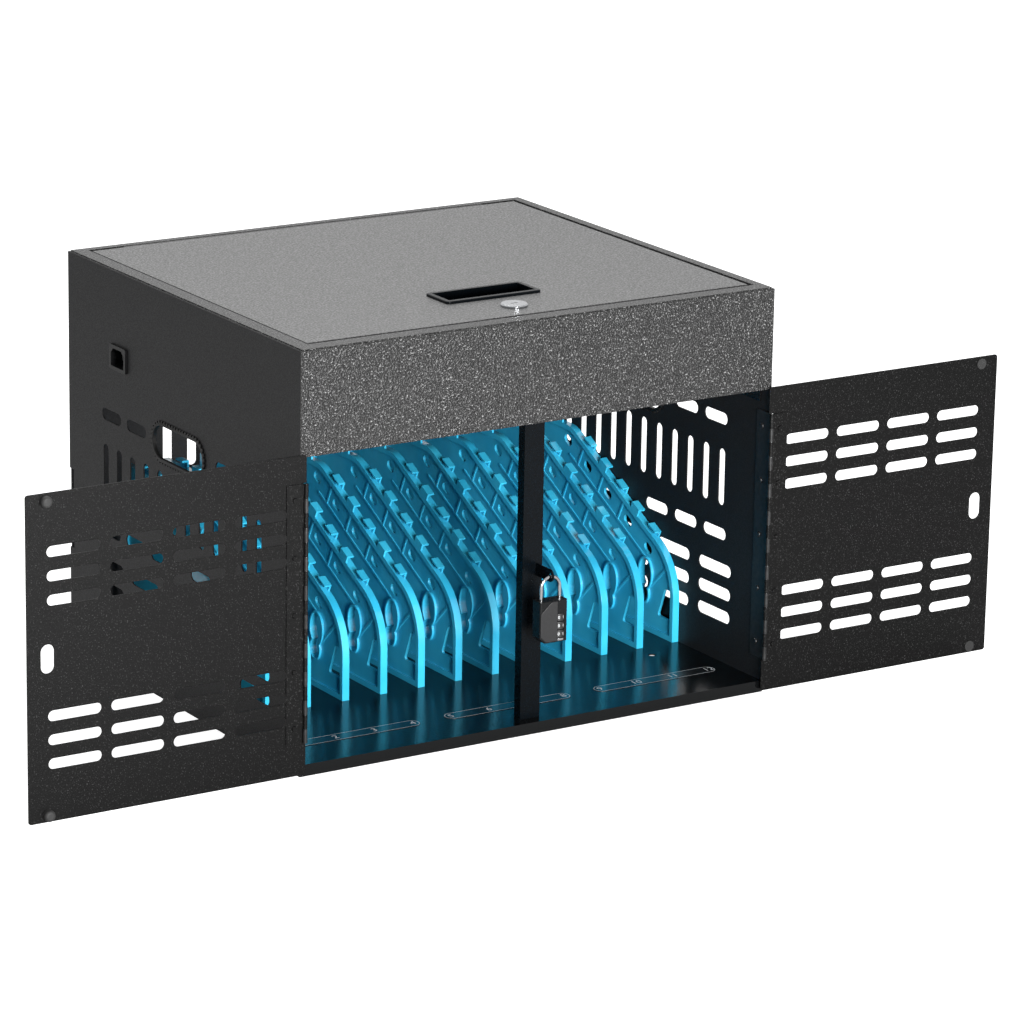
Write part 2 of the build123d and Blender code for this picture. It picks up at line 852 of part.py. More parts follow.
# Hinge rivets: domed heads inside, flush outside the walls and upset on the doors' outer faces.
wall_grip = leaf_thickness + sheet
with BuildPart() as wall_hinge_rivets:
    add(make_rivets(-(inner_x - leaf_thickness), front + rivet_inset, to_left, wall_grip, False).part)
    add(make_rivets(inner_x - leaf_thickness, front + rivet_inset, to_right, wall_grip, False).part)
save(wall_hinge_rivets, "wall_hinge_rivets")
door_grip = leaf_thickness + door_sheet
seat_rise = knuckle_radius - leaf_thickness
left_door_rivets = make_rivets(
    left_axis.X - rivet_inset, left_axis.Y + seat_rise, to_back, door_grip, True
)
save(left_door_rivets, "left_door_rivets")
right_door_rivets = make_rivets(
    right_axis.X + rivet_inset, right_axis.Y + seat_rise, to_back, door_grip, True
)
save(right_door_rivets, "right_door_rivets")


def make_door(axis, side, door_width):
    """A door leaf at rest, opened flat beside the cabinet. side is -1 for the left door, 1 for the right.

    The hinge edge is cut back beside the hinge, so that the wall leaf passes it.
    """
    hinge_edge = axis.X - side * door_edge_lap
    free_edge = hinge_edge + side * door_width
    middle = (hinge_edge + free_edge) / 2
    inner_face = axis.Y + knuckle_radius
    slot_width = (
        door_width - 2 * door_slot_margin - (door_slot_count - 1) * door_slot_gap
    ) / door_slot_count
    levels = [door_top - row for row in door_slot_rows] + [door_bottom + row for row in door_slot_rows]
    notch_edge = side * (width / 2 + leaf_clearance)
    with BuildPart() as door:
        with BuildSketch(Plane.XZ.offset(-inner_face)):
            with Locations((middle, (door_top + door_bottom) / 2)):
                RectangleRounded(door_width, door_height, door_corner)
            with Locations((hinge_edge, hinge_middle)):
                Rectangle(
                    2 * abs(notch_edge - hinge_edge), hinge_length + 2 * leaf_clearance, mode=Mode.SUBTRACT
                )
            for level in levels:
                with Locations((middle, level)):
                    with GridLocations(slot_width + door_slot_gap, 1, door_slot_count, 1):
                        SlotOverall(slot_width, door_slot_height, mode=Mode.SUBTRACT)
            with Locations((free_edge - side * lock_slot_edge, (door_top + door_bottom) / 2)):
                SlotOverall(lock_slot_length, lock_slot_width, rotation=90, mode=Mode.SUBTRACT)
            with Locations(*[(axis.X + side * rivet_inset, level) for level in rivet_levels]):
                Circle(rivet_radius + rivet_clearance, mode=Mode.SUBTRACT)
        extrude(amount=-door_sheet)
    return door


left_door_panel = make_door(left_axis, -1, left_door_width)
save(left_door_panel, "left_door_panel")
right_door_panel = make_door(right_axis, 1, right_door_width)
save(right_door_panel, "right_door_panel")

# Door bumpers: rubber domes that meet the fascia's edge and the floor's lip.
left_free_edge = left_axis.X + door_edge_lap - left_door_width
bumper_height = left_axis_front + knuckle_radius - seat_gap
bumper_levels = (door_top - bumper_top_drop, door_bottom + bumper_bottom_rise)
with BuildPart() as left_door_bumpers:
    with BuildSketch(Plane.XZ.offset(-(left_axis.Y + knuckle_radius))):
        with Locations(*[(left_free_edge + bumper_edge, level) for level in bumper_levels]):
            Circle(bumper_radius)
    extrude(amount=bumper_height)
    fillet(left_door_bumpers.edges().filter_by(GeomType.CIRCLE).group_by(Axis.Y)[0], bumper_height / 2)
save(left_door_bumpers, "left_door_bumpers")

# Door pads: thin felt discs that keep the right door off the left one where they overlap.
right_free_edge = right_axis.X - door_edge_lap + right_door_width
with BuildPart() as right_door_pads:
    with BuildSketch(Plane.XZ.offset(-(right_axis.Y + knuckle_radius))):
        with Locations(*[(right_free_edge - bumper_edge, level) for level in bumper_levels]):
            Circle(pad_radius)
    extrude(amount=pad_thickness)
save(right_door_pads, "right_door_pads")

# Lid: a tray turned upside down, cut for the pull and for the lock.
lid_center = ((lid_left + lid_right) / 2, (lid_front + lid_rear) / 2)
lid_width = lid_right - lid_left
lid_depth = lid_rear - lid_front
lid_bottom = ledge_top + seat_gap
with BuildPart() as lid_panel:
    with BuildSketch(Plane.XY.offset(lid_bottom)):
        with Locations(lid_center):
            Rectangle(lid_width, lid_depth)
    extrude(amount=height - lid_bottom)
    with BuildSketch(Plane.XY.offset(lid_bottom)):
        with Locations(lid_center):
            Rectangle(lid_width - 2 * sheet, lid_depth - 2 * sheet)
    extrude(amount=height - sheet - lid_bottom, mode=Mode.SUBTRACT)
    with BuildSketch(Plane.XY.offset(height)):
        with Locations((0, front + pull_back)):
            Rectangle(pull_length, pull_width)
        with Locations((0, front + lock_back)):
            Circle(barrel_radius + rivet_clearance)
    extrude(amount=-sheet, mode=Mode.SUBTRACT)
save(lid_panel, "lid_panel")

# Lid pull: a pressed cup, open at the top, that a hand lifts the lid by.
with BuildPart() as lid_pull_cup:
    with BuildSketch(Plane.XY.offset(height)):
        with Locations((0, front + pull_back)):
            RectangleRounded(pull_length + 2 * pull_flange, pull_width + 2 * pull_flange, pull_corner)
    extrude(amount=pull_flange_thickness)
    fillet(lid_pull_cup.faces().sort_by(Axis.Z)[-1].edges(), pull_edge_radius)
    with BuildSketch(Plane.XY.offset(height)):
        with Locations((0, front + pull_back)):
            Rectangle(pull_length, pull_width)
    extrude(amount=-pull_depth)
    with BuildSketch(Plane.XY.offset(height + pull_flange_thickness)):
        with Locations((0, front + pull_back)):
            Rectangle(pull_length - 2 * pull_wall, pull_width - 2 * pull_wall)
    extrude(amount=pull_wall - pull_flange_thickness - pull_depth, mode=Mode.SUBTRACT)
save(lid_pull_cup, "lid_pull_cup")

# Lid hinge: two hanging leaves in the gap behind the lid, with their pin just under the top.
lid_axis_y = lid_rear + lid_rear_gap / 2
lid_axis_z = height - lid_axis_drop
lid_hinge_length = lid_knuckle_length * lid_knuckle_count
for name, own, seat_y, inward in (
    ("lid_hinge_frame_leaf", 0, opening_rear, -1),
    ("lid_hinge_lid_leaf", 1, lid_rear, 1),
):
    with BuildPart() as lid_leaf:
        with BuildSketch(Plane.YZ.offset(-lid_hinge_length / 2)):
            with Locations(
                (
                    seat_y + inward * lid_leaf_thickness / 2,
                    lid_axis_z - (lid_leaf_width + lid_knuckle_radius + leaf_clearance) / 2,
                )
            ):
                Rectangle(lid_leaf_thickness, lid_leaf_width - lid_knuckle_radius - leaf_clearance)
        extrude(amount=lid_hinge_length)
        for start in knuckle_starts(own, lid_knuckle_count, lid_knuckle_length, -lid_hinge_length / 2):
            with BuildSketch(Plane.YZ.offset(start + knuckle_gap / 2)):
                with Locations((seat_y + inward * lid_leaf_thickness / 2, lid_axis_z - lid_leaf_width / 4)):
                    Rectangle(lid_leaf_thickness, lid_leaf_width / 2)
                with Locations((lid_axis_y, lid_axis_z)):
                    Circle(lid_knuckle_radius)
            extrude(amount=lid_knuckle_length - knuckle_gap)
        with BuildSketch(Plane.YZ.offset(-lid_hinge_length / 2)):
            with Locations((lid_axis_y, lid_axis_z)):
                Circle(pin_radius + pin_clearance)
        extrude(amount=lid_hinge_length, mode=Mode.SUBTRACT)
    save(lid_leaf, name)

with BuildPart() as lid_hinge_pin:
    with BuildSketch(Plane.YZ.offset(-lid_hinge_length / 2)):
        with Locations((lid_axis_y, lid_axis_z)):
            Circle(pin_radius)
    extrude(amount=lid_hinge_length)
save(lid_hinge_pin, "lid_hinge_pin")

# Lid lock barrel: a chromed sleeve with a broad head on the lid and a bore for the turning core.
lock_y = front + lock_back
cam_top = ledge_top - sheet - cam_clearance
barrel_bottom = height - barrel_length
with BuildPart() as lock_barrel:
    with BuildSketch(Plane.XY.offset(height)):
        with Locations((0, lock_y)):
            Circle(barrel_head_radius)
    extrude(amount=barrel_head_height)
    chamfer(lock_barrel.faces().sort_by(Axis.Z)[-1].edges(), barrel_head_height / 3)
    with BuildSketch(Plane.XY.offset(height)):
        with Locations((0, lock_y)):
            Circle(barrel_radius)
    extrude(amount=-barrel_length)
    with BuildSketch(Plane.XY.offset(barrel_bottom)):
        with Locations((0, lock_y)):
            Circle(core_radius + core_clearance)
    extrude(amount=barrel_length + barrel_head_height, mode=Mode.SUBTRACT)
save(lock_barrel, "lock_barrel")

# Lock nut: a hexagon that clamps the barrel to the lid from below.
with BuildPart() as lock_nut:
    with BuildSketch(Plane.XY.offset(height - sheet)):
        with Locations((0, lock_y)):
            RegularPolygon(nut_radius, 6)
            Circle(barrel_radius + rivet_clearance, mode=Mode.SUBTRACT)
    extrude(amount=-nut_thickness)
save(lock_nut, "lock_nut")

# Lock core: the keyed plug that turns in the barrel and drives the cam.
core_top = height + barrel_head_height
with BuildPart() as lock_core:
    with BuildSketch(Plane.XY.offset(cam_top)):
        with Locations((0, lock_y)):
            Circle(core_radius)
    extrude(amount=core_top - cam_top)
    with BuildSketch(Plane.XY.offset(core_top)):
        with Locations((0, lock_y)):
            Rectangle(key_slot_length, key_slot_width)
    extrude(amount=-key_slot_depth, mode=Mode.SUBTRACT)
save(lock_core, "lock_core")

# Lock cam: the flat tongue under the core, drawn clear of the frame so that the lid can open.
with BuildPart() as lock_cam:
    with BuildSketch(Plane.XY.offset(cam_top)):
        with Locations((cam_tip_reach / 2, lock_y)):
            SlotCenterToCenter(cam_tip_reach - cam_width / 2, cam_width)
    extrude(amount=-cam_thickness)
save(lock_cam, "lock_cam")

# Cam screw: a pan head that holds the cam to the core.
with BuildPart() as cam_screw:
    with BuildSketch(Plane.XY.offset(cam_top - cam_thickness)):
        with Locations((0, lock_y)):
            Circle(cam_screw_radius)
    extrude(amount=-cam_screw_height)
    fillet(cam_screw.faces().sort_by(Axis.Z)[0].edges(), cam_screw_height / 3)
save(cam_screw, "cam_screw")

# Padlock shackle: a bent rod that hangs in the lug, with one long and one short leg.
shackle_y = front + lug_hole_back
bow_radius = shackle_span / 2
bow_top = lug_hole_level - lug_hole_radius + shackle_radius + shackle_clearance
bow_center_z = bow_top - bow_radius
padlock_top = bow_top + shackle_radius - padlock_drop
long_x = lock_x - bow_radius
short_x = lock_x + bow_radius
with BuildPart() as padlock_shackle:
    with BuildLine() as bent_rod:
        long_leg = Line(
            (long_x, shackle_y, padlock_top - shackle_long_leg), (long_x, shackle_y, bow_center_z)
        )
        bow = ThreePointArc(
            long_leg @ 1, (lock_x, shackle_y, bow_top), (short_x, shackle_y, bow_center_z)
        )
        Line(bow @ 1, (short_x, shackle_y, padlock_top - shackle_short_leg))
    with BuildSketch(Plane(long_leg @ 0, z_dir=(0, 0, 1))):
        Circle(shackle_radius)
    sweep()
save(padlock_shackle, "padlock_shackle")

# Padlock body: a case bored for the shackle, with round rooms for the number wheels.
padlock_bottom = padlock_top - padlock_height
padlock_right = lock_x + padlock_width / 2
dial_x = padlock_right - dial_edge
spindle_foot = padlock_bottom + spindle_foot_rise
dial_levels = [padlock_top - dial_top_drop - index * dial_pitch for index in range(dial_count)]
with BuildPart() as padlock_body:
    with BuildSketch(Plane.XZ.offset(-(shackle_y + padlock_thickness / 2))) as case:
        with Locations((lock_x, (padlock_top + padlock_bottom) / 2)):
            Rectangle(padlock_width, padlock_height)
        chamfer(case.vertices().group_by(Axis.Y)[0].sort_by(Axis.X)[0], padlock_cut)
    extrude(amount=padlock_thickness)
    fillet(padlock_body.edges().filter_by(Axis.Z), padlock_corner)
    with BuildSketch(Plane.XY.offset(padlock_top)):
        with Locations((long_x, shackle_y)):
            Circle(shackle_radius + shackle_clearance)
    extrude(amount=-(shackle_long_leg + dial_clearance), mode=Mode.SUBTRACT)
    with BuildSketch(Plane.XY.offset(padlock_top)):
        with Locations((short_x, shackle_y)):
            Circle(shackle_radius + shackle_clearance)
    extrude(amount=-(shackle_short_leg + dial_clearance), mode=Mode.SUBTRACT)
    for level in dial_levels:
        with BuildSketch(Plane.XY.offset(level + dial_clearance / 2)):
            with Locations((dial_x, shackle_y)):
                Circle(dial_radius + dial_clearance)
        extrude(amount=-(dial_height + dial_clearance), mode=Mode.SUBTRACT)
    with BuildSketch(Plane.XY.offset(spindle_foot)):
        with Locations((dial_x, shackle_y)):
            Circle(dial_radius + dial_clearance)
    extrude(amount=spindle_foot_height, mode=Mode.SUBTRACT)
    with BuildSketch(Plane.XY.offset(spindle_foot)):
        with Locations((dial_x, shackle_y)):
            Circle(spindle_radius + spindle_clearance)
    extrude(amount=dial_levels[0] - spindle_foot, mode=Mode.SUBTRACT)
save(padlock_body, "padlock_body")

# Padlock spindle: the pin that the wheels turn on, with a bright round foot in the case.
with BuildPart() as padlock_spindle:
    with BuildSketch(Plane.XY.offset(spindle_foot)):
        with Locations((dial_x, shackle_y)):
            Circle(spindle_radius)
    extrude(amount=dial_levels[0] - spindle_foot)
    with BuildSketch(Plane.XY.offset(spindle_foot)):
        with Locations((dial_x, shackle_y)):
            Circle(dial_radius)
    extrude(amount=spindle_foot_height)
save(padlock_spindle, "padlock_spindle")

# Number wheels: three bored discs that stand a little proud of the case on three sides.
for index, level in enumerate(dial_levels):
    with BuildPart() as dial:
        with BuildSketch(Plane.XY.offset(level)):
            with Locations((dial_x, shackle_y)):
                Circle(dial_radius)
                Circle(spindle_radius + spindle_clearance, mode=Mode.SUBTRACT)
        extrude(amount=-dial_height)
    save(dial, f"padlock_dial_{index + 1}")

# Power strip housing: a folded box on the shelf with a row of cut-outs along its top.
strip_y = front + strip_body_back
strip_bottom = shelf_top + bracket_thickness
strip_top = strip_bottom + strip_body_height
outlet_x = [outlet_first_x + index * outlet_pitch for index in range(outlet_count)]
bezel_length = rocker_length + 2 * (rocker_gap + bezel_border)
bezel_width = rocker_width + 2 * (rocker_gap + bezel_border)
with BuildPart() as strip_housing:
    with BuildSketch(Plane.XY.offset(strip_bottom)):
        with Locations((0, strip_y)):
            Rectangle(strip_body_length, strip_body_width)
    extrude(amount=strip_body_height)
    with BuildSketch(Plane.XY.offset(strip_bottom + strip_body_wall)):
        with Locations((0, strip_y)):
            Rectangle(strip_body_length - 2 * strip_body_wall, strip_body_width - 2 * strip_body_wall)
    extrude(amount=strip_body_height - 2 * strip_body_wall, mode=Mode.SUBTRACT)
    with BuildSketch(Plane.XY.offset(strip_top)):
        with Locations(*[(x, strip_y) for x in outlet_x]):
            Rectangle(outlet_size, outlet_size)
        with Locations((rocker_x, strip_y)):
            Rectangle(bezel_width, bezel_length)
    extrude(amount=-strip_body_wall, mode=Mode.SUBTRACT)
save(strip_housing, "strip_housing")

# Outlets: moulded inserts with two blade slots and a round earth hole each.
with BuildPart() as outlet_inserts:
    with BuildSketch(Plane.XY.offset(strip_top)):
        with Locations(*[(x, strip_y) for x in outlet_x]):
            RectangleRounded(outlet_size + 2 * outlet_flange, outlet_size + 2 * outlet_flange, outlet_corner)
    extrude(amount=outlet_flange_thickness)
    with BuildSketch(Plane.XY.offset(strip_top)):
        with Locations(*[(x, strip_y) for x in outlet_x]):
            Rectangle(outlet_size, outlet_size)
    extrude(amount=-outlet_depth)
    with BuildSketch(Plane.XY.offset(strip_top + outlet_flange_thickness)):
        with Locations(*[(x, strip_y + outlet_size / 8) for x in outlet_x]):
            with GridLocations(blade_slot_pitch, 1, 2, 1):
                Rectangle(blade_slot_width, blade_slot_length)
        with Locations(*[(x, strip_y - ground_drop) for x in outlet_x]):
            Circle(ground_radius)
    extrude(amount=-blade_slot_depth, mode=Mode.SUBTRACT)
save(outlet_inserts, "outlet_inserts")

# Switch bezel: the frame that the rocker tilts in, with a pivot pin across it.
bezel_top = strip_top + outlet_flange_thickness
rocker_axis_z = strip_top - rocker_depth / 2
with BuildPart() as switch_bezel:
    with BuildSketch(Plane.XY.offset(strip_top - bezel_depth)):
        with Locations((rocker_x, strip_y)):
            Rectangle(bezel_width, bezel_length)
    extrude(amount=bezel_depth + outlet_flange_thickness)
    with BuildSketch(Plane.XY.offset(strip_top - bezel_depth + bezel_border)):
        with Locations((rocker_x, strip_y)):
            Rectangle(rocker_width + 2 * rocker_gap, rocker_length + 2 * rocker_gap)
    extrude(amount=bezel_depth + outlet_flange_thickness - bezel_border, mode=Mode.SUBTRACT)
    with BuildSketch(Plane.YZ.offset(rocker_x - rocker_width / 2 - rocker_gap)):
        with Locations((strip_y, rocker_axis_z)):
            Circle(rocker_pin_radius)
    extrude(amount=rocker_width + 2 * rocker_gap)
save(switch_bezel, "switch_bezel")

# Rocker: a shallow vee-topped key that tilts about the pin.
rocker_rise = rocker_length / 2 * tan(radians(rocker_angle))
with BuildPart() as strip_rocker:
    with BuildSketch(Plane.YZ.offset(rocker_x - rocker_width / 2)):
        with BuildLine():
            Polyline(
                (strip_y - rocker_length / 2, bezel_top),
                (strip_y - rocker_length / 2, bezel_top - rocker_depth / 2),
                (strip_y, bezel_top - rocker_depth - rocker_rise),
                (strip_y + rocker_length / 2, bezel_top - rocker_depth / 2),
                (strip_y + rocker_length / 2, bezel_top + rocker_rise),
                (strip_y, bezel_top - rocker_pin_radius / 2),
                close=True,
            )
        make_face()
        with Locations((strip_y, rocker_axis_z)):
            Circle(rocker_pin_radius + rocker_pin_clearance, mode=Mode.SUBTRACT)
    extrude(amount=rocker_width)
save(strip_rocker, "strip_rocker")

# Strip brackets: two feet that hold the housing's ends to the shelf.
with BuildPart() as strip_brackets:
    for side in (-1, 1):
        end = side * strip_body_length / 2
        with BuildSketch(Plane.XZ.offset(-(strip_y + bracket_length / 2))):
            with BuildLine():
                Polyline(
                    (end - side * bracket_foot, shelf_top),
                    (end + side * bracket_foot, shelf_top),
                    (end + side * bracket_foot, shelf_top + bracket_thickness),
                    (end + side * bracket_thickness, shelf_top + bracket_thickness),
                    (end + side * bracket_thickness, strip_bottom + strip_body_height / 2),
                    (end, strip_bottom + strip_body_height / 2),
                    (end, shelf_top + bracket_thickness),
                    (end - side * bracket_foot, shelf_top + bracket_thickness),
                    close=True,
                )
            make_face()
        extrude(amount=bracket_length)
    with BuildSketch(Plane.XY.offset(shelf_top)):
        with Locations((0, strip_y)):
            with GridLocations(strip_body_length + bracket_foot, 1, 2, 1):
                Circle(screw_radius)
    extrude(amount=bracket_thickness, mode=Mode.SUBTRACT)
save(strip_brackets, "strip_brackets")

# Bracket screws: pan heads with short shanks through the brackets and the shelf.
with BuildPart() as bracket_screws:
    with BuildSketch(Plane.XY.offset(fascia_bottom)):
        with Locations((0, strip_y)):
            with GridLocations(strip_body_length + bracket_foot, 1, 2, 1):
                Circle(screw_radius - rivet_clearance)
    extrude(amount=sheet + bracket_thickness)
    with BuildSketch(Plane.XY.offset(shelf_top + bracket_thickness)):
        with Locations((0, strip_y)):
            with GridLocations(strip_body_length + bracket_foot, 1, 2, 1):
                Circle(screw_head_radius)
    extrude(amount=screw_head_height, taper=15)
save(bracket_screws, "bracket_screws")
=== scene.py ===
"""Looks of a desktop charging cabinet: steel shell, vented doors, dividers, lid and padlock."""

from math import cos, pi, radians, sin

import bmesh
import bpy
from mathutils import Matrix, Vector


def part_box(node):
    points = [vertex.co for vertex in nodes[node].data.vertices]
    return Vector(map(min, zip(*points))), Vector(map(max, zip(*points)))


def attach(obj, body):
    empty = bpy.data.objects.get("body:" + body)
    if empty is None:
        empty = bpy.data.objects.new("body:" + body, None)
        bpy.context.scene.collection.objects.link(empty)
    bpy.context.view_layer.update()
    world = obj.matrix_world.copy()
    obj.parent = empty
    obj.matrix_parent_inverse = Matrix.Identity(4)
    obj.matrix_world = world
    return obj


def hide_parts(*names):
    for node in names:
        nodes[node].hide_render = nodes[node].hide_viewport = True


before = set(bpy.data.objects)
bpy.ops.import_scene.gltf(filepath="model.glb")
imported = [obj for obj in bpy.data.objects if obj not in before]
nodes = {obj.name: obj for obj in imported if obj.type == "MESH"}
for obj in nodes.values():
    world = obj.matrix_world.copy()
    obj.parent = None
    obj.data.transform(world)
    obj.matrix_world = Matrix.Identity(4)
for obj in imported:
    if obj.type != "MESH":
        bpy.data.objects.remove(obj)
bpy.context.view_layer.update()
mm = 0.001

# The camera. It stands to the left of the doorway and a little above the top, far away on a
# long lens, as the picture was taken.
lens = bpy.data.cameras.new("picture_camera")
lens.sensor_width = 36.0
lens.lens = 170.2
lens.clip_end = 60.0
camera = bpy.data.objects.new("picture_camera", lens)
bpy.context.scene.collection.objects.link(camera)
turn, rise, roll = radians(-32.456), radians(16.008), radians(0.983)
ahead = Vector((-sin(turn) * cos(rise), cos(turn) * cos(rise), -sin(rise)))
level = Vector((cos(turn), sin(turn), 0.0))
upright = level.cross(ahead)
across = cos(roll) * level + sin(roll) * upright
upward = -sin(roll) * level + cos(roll) * upright
camera.matrix_world = Matrix(
    (
        (across.x, upward.x, -ahead.x, -2181.9 * mm),
        (across.y, upward.y, -ahead.y, -3594.5 * mm),
        (across.z, upward.z, -ahead.z, 1356.1 * mm),
        (0.0, 0.0, 0.0, 1.0),
    )
)
bpy.context.scene.camera = camera
bpy.context.scene.view_settings.view_transform = "Standard"

# Side and back walls. Cold rolled steel sheet, folded and spot welded, with a fine matt
# charcoal powder coat that shows hardly any grain from a step away.


def tint(code):
    """The linear colour of an sRGB hex value."""
    parts = [int(code[i : i + 2], 16) / 255 for i in (1, 3, 5)]
    return tuple(p / 12.92 if p <= 0.04045 else ((p + 0.055) / 1.055) ** 2.4 for p in parts) + (1.0,)


def add_node(tree, kind, inputs=None, **settings):
    """Adds a node; settings are its own properties, inputs its sockets' values or links."""
    made = tree.nodes.new(kind)
    for name, value in settings.items():
        setattr(made, name, value)
    for socket, value in (inputs or {}).items():
        if isinstance(value, bpy.types.NodeSocket):
            tree.links.new(value, made.inputs[socket])
        else:
            made.inputs[socket].default_value = value
    return made


def blank_finish(name):
    """An empty material, its tree, and the object coordinates that its pattern reads."""
    made = bpy.data.materials.new(name)
    made.use_nodes = True
    made.node_tree.nodes.clear()
    place = add_node(made.node_tree, "ShaderNodeTexCoord")
    return made, made.node_tree, place.outputs["Object"]


def close_finish(tree, shader):
    add_node(tree, "ShaderNodeOutputMaterial", {"Surface": shader.outputs["BSDF"]})


def powder_coat(name, low, high, painted_glint, grain, relief, roughness, shine=0.5, edge=0.5):
    """Baked powder paint: its colours in the dips and on the crests, the dips drawn darker as
    painted shade and the few brightest crests given a painted highlight colour; the distance
    between crests and their height, both in mm, its roughness and its shine, which is 0.5 for a
    full gloss resin and less for one with matting agent."""
    made, tree, place = blank_finish(name)
    crests = add_node(
        tree, "ShaderNodeTexNoise",
        {"Vector": place, "Scale": 1000 / grain, "Detail": 1.0, "Roughness": 0.45},
    )
    # Painted shade in the dips and painted highlights on the crests, following the bump noise.
    colour = add_node(tree, "ShaderNodeValToRGB", {"Fac": crests.outputs["Fac"]})
    colour.color_ramp.elements[0].position = 0.36
    colour.color_ramp.elements[0].color = tint(low)
    colour.color_ramp.elements[1].position = 0.62
    colour.color_ramp.elements[1].color = tint(high)
    colour.color_ramp.elements.new(0.76).color = tint(painted_glint)
    sheen = add_node(
        tree, "ShaderNodeMapRange",
        {
            "Value": crests.outputs["Fac"], "From Min": 0.35, "From Max": 0.65,
            "To Min": roughness + 0.06, "To Max": roughness - 0.06,
        },
    )
    rounded = add_node(tree, "ShaderNodeBevel", {"Radius": edge * mm}, samples=4)
    bumps = add_node(
        tree, "ShaderNodeBump",
        {
            "Height": crests.outputs["Fac"], "Distance": relief * mm, "Strength": 1.0,
            "Normal": rounded.outputs["Normal"],
        },
    )
    paint = add_node(
        tree, "ShaderNodeBsdfPrincipled",
        {
            "Base Color": colour.outputs["Color"], "Roughness": sheen.outputs["Result"],
            "Normal": bumps.outputs["Normal"], "IOR": 1.5, "Specular IOR Level": shine,
        },
    )
    close_finish(tree, paint)
    return made


def dress(finish, *names):
    """Gives the CAD pieces of these names their real finish."""
    for name in names:
        mesh = nodes[name].data
        mesh.materials.clear()
        mesh.materials.append(finish)


# Fine matt powder coat, epoxy polyester, 60 to 80 micrometres thick. Its grain of 0.9 mm is
# drawn as fine as the picture can show, with a soft, even sheen.
side_coat = powder_coat(
    "fine_matt_powder_coat", "#121213", "#19191a", "#1e1e20", 0.9, 0.02, 0.5, 0.2
)
dress(side_coat, "left_side_panel", "right_side_panel", "back_panel")

# Fascia and top frame. The same steel, under a coarse hammered powder coat whose crests
# stand about 2 mm apart; the bright specks on its crests are painted highlights.
fascia_coat = powder_coat(
    "coarse_hammer_powder_coat", "#080808", "#232323", "#8c8c8c", 1.6, 1.7, 0.36, 0.4
)
dress(fascia_coat, "front_fascia", "top_frame")

# Lid. A steel tray with turned down edges that lifts on a hinge along its back edge. Its
# powder coat is finer than the fascia's and gleams where light grazes it. Its mid grey, lighter
# than the walls' coat, is partly the coat's own tone and partly painted light on the top face,
# and its crests carry painted highlights.
lid_coat = powder_coat(
    "grained_powder_coat", "#343434", "#606060", "#767676", 1.7, 0.6, 0.42
)
dress(lid_coat, "lid_panel")

# Floor tray and shelf. Folded steel under a smooth gloss powder coat, in which the dividers
# show as long soft streaks.
inner_coat = powder_coat(
    "gloss_powder_coat", "#060708", "#0a0b0c", "#0e1011", 1.6, 0.1, 0.16, 0.3
)
dress(inner_coat, "floor_pan", "device_shelf")

# Middle post and the lid's pull cup. A folded steel channel and a deep drawn steel cup, both
# under a smooth black powder coat with little shine. The coat's faint blue cast is a painted
# reflection of the turquoise dividers.
post_coat = powder_coat(
    "smooth_black_powder_coat", "#020406", "#04080c", "#060b10", 1.6, 0.05, 0.3, 0.1
)
dress(post_coat, "center_post", "lid_pull_cup")

# Doors. Steel panels pierced with rows of round ended vents. Their hinge leaves are riveted on
# first and take the same black powder coat, which has a fine sparkle, drawn as painted glints
# on its crests.
door_coat = powder_coat(
    "textured_powder_coat", "#050505", "#0a0a0a", "#343434", 1.2, 0.22, 0.4, 0.13
)
dress(
    door_coat,
    "left_door_panel", "right_door_panel", "left_door_hinge_leaf", "right_door_hinge_leaf",
    "left_door_rivets", "right_door_rivets",
)

# Wall and lid hinge leaves. Rolled steel piano hinge, blackened and oiled, riveted to the
# sheets with flat headed rivets.
black_steel, tree, place = blank_finish("blackened_steel")
streaks = add_node(
    tree, "ShaderNodeTexNoise", {"Vector": place, "Scale": 260.0, "Detail": 4.0}
)
shade = add_node(tree, "ShaderNodeValToRGB", {"Fac": streaks.outputs["Fac"]})
shade.color_ramp.elements[0].position = 0.3
shade.color_ramp.elements[0].color = tint("#151515")
shade.color_ramp.elements[1].position = 0.75
shade.color_ramp.elements[1].color = tint("#2a2a2b")
wear = add_node(
    tree, "ShaderNodeMapRange",
    {"Value": streaks.outputs["Fac"], "To Min": 0.28, "To Max": 0.46},
)
rounded = add_node(tree, "ShaderNodeBevel", {"Radius": 0.25 * mm}, samples=4)
shader = add_node(
    tree, "ShaderNodeBsdfPrincipled",
    {
        "Base Color": shade.outputs["Color"], "Roughness": wear.outputs["Result"],
        "Normal": rounded.outputs["Normal"], "Metallic": 0.35,
    },
)
close_finish(tree, shader)
dress(
    black_steel,
    "left_wall_hinge_leaf", "right_wall_hinge_leaf", "lid_hinge_frame_leaf",
    "lid_hinge_lid_leaf", "wall_hinge_rivets",
)

# Hinge pins, cam, nut and screws. Drawn steel wire and turned parts, zinc plated.
zinc_steel, tree, place = blank_finish("zinc_plated_steel")
spangle = add_node(
    tree, "ShaderNodeTexNoise", {"Vector": place, "Scale": 900.0, "Detail": 2.0}
)
shade = add_node(tree, "ShaderNodeValToRGB", {"Fac": spangle.outputs["Fac"]})
shade.color_ramp.elements[0].color = tint("#a9abad")
shade.color_ramp.elements[1].color = tint("#d4d5d6")
wear = add_node(
    tree, "ShaderNodeMapRange",
    {"Value": spangle.outputs["Fac"], "To Min": 0.2, "To Max": 0.34},
)
shader = add_node(
    tree, "ShaderNodeBsdfPrincipled",
    {
        "Base Color": shade.outputs["Color"], "Roughness": wear.outputs["Result"],
        "Metallic": 1.0,
    },
)
close_finish(tree, shader)
dress(
    zinc_steel,
    "door_hinge_pins", "lid_hinge_pin", "lock_cam", "cam_screw", "lock_nut",
    "inlet_pins", "bracket_screws",
)

# Dividers. Twelve turquoise plates moulded in glossy ABS, each with a rim, ribs, windows and
# cable clips, screwed to the floor tray from below.


